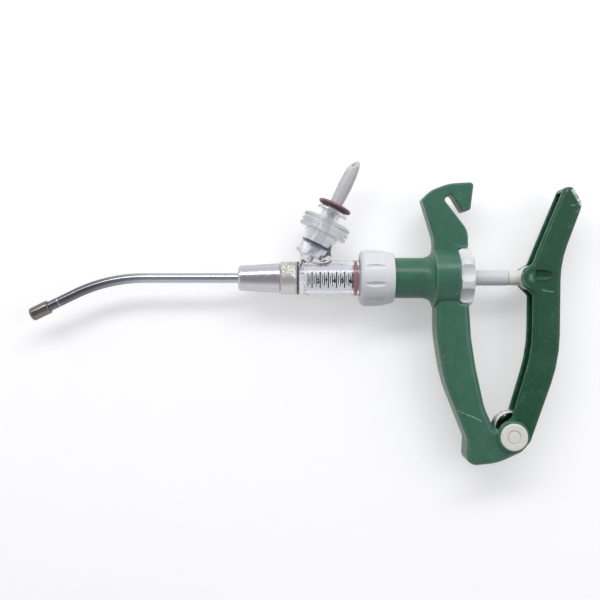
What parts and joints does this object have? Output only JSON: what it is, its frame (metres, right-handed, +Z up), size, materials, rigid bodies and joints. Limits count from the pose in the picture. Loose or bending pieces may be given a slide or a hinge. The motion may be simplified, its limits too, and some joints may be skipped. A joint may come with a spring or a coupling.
{
  "type": "pour-on applicator",
  "caption": "Hand-held livestock pour-on applicator: clear dosing barrel, bottle spike on a slanted branch, bent nozzle, hooked grip and a spring lever that drives the piston.",
  "frame": {"origin": "under the middle of the part's box, on the surface it lies on", "axes": "lying on its side: +X from the nozzle towards the lever, +Y from the grip's toe towards the hook, +Z up"},
  "size_m": [0.329, 0.181, 0.0365],
  "materials": {
    "body_nylon": "worn satin green",
    "lever_nylon": "worn satin dark green",
    "nut_plastic": "satin off-white",
    "knob_plastic": "satin off-white",
    "sleeve_acetal": "plain",
    "clear_barrel": "clear, slightly grey",
    "clear_adapter": "clear, slightly grey",
    "gasket_rubber": "plain",
    "maroon_rubber": "plain",
    "red_seal": "smooth",
    "black_seal": "plain",
    "valve_rubber": "plain",
    "valve_acetal": "plain",
    "piston_plastic": "plain",
    "grey_rod": "smooth",
    "cream_rod_end": "moulded",
    "cap_plastic": "smooth",
    "grey_spike": "smooth",
    "polished_steel": "polished",
    "darkened_steel": "dulled",
    "satin_metal": "satin",
    "cast_nickel": "sand cast, plated",
    "spring_steel": "drawn wire",
    "pin_steel": "ground",
    "bush_plastic": "plain"
  },
  "bodies": {
    "body": {"body_handle": "body_nylon", "pivot_pin": "pin_steel", "pivot_cap_near": "cap_plastic", "pivot_cap_far": "cap_plastic", "torsion_spring": "spring_steel", "union_nut": "nut_plastic", "barrel": "clear_barrel", "barrel_gasket": "gasket_rubber", "nozzle_cone": "satin_metal", "nozzle_collar": "cast_nickel", "front_seal": "black_seal", "nozzle_tube": "polished_steel", "nozzle_tip": "darkened_steel", "outlet_seat": "valve_rubber", "outlet_valve_spring": "spring_steel", "inlet_valve_spring": "spring_steel", "inlet_seal": "valve_rubber", "bottle_adapter": "clear_adapter", "bottle_gasket": "maroon_rubber", "bottle_spike": "grey_spike"},
    "lever": {"lever": "lever_nylon", "pivot_bush": "bush_plastic"},
    "plunger": {"piston": "piston_plastic", "piston_seal": "red_seal", "piston_rod": "grey_rod", "rod_end": "cream_rod_end", "link_pin": "pin_steel"},
    "dose": {"dose_knob": "knob_plastic", "dose_sleeve": "sleeve_acetal"},
    "inlet_valve": {"inlet_valve": "valve_acetal"},
    "outlet_valve": {"outlet_valve": "valve_acetal"}
  },
  "joints": [
    {"name": "lever_hinge", "type": "hinge", "parent": "body", "child": "lever", "pos_m": [0.12291, -0.0732, 0.01824], "axis": [0, 0, 1], "range_deg": [0, 17.57], "stiffness_Nm_per_rad": 1.2, "springref_deg": -17.19, "deforming": ["torsion_spring"]},
    {"name": "plunger_slide", "type": "slide", "parent": "body", "child": "plunger", "axis": [-1, 0, 0], "range_m": [0, 0.02876]},
    {"name": "dose_turn", "type": "hinge", "parent": "body", "child": "dose", "pos_m": [0.09491, 0.0202, 0.01824], "axis": [1, 0, 0], "continuous": true},
    {"name": "inlet_valve_lift", "type": "slide", "parent": "body", "child": "inlet_valve", "axis": [-0.4384, -0.8988, 0], "range_m": [0, 0.0012], "stiffness_N_per_m": 150, "springref_m": -0.0005, "deforming": ["inlet_valve_spring"]},
    {"name": "outlet_valve_lift", "type": "slide", "parent": "body", "child": "outlet_valve", "axis": [-1, 0, 0], "range_m": [0, 0.0012], "stiffness_N_per_m": 150, "springref_m": -0.0005, "deforming": ["outlet_valve_spring"]}
  ],
  "couplings": [
    {"joint": "plunger_slide", "follows": "lever_hinge", "m_per_rad": 0.09375}
  ]
}
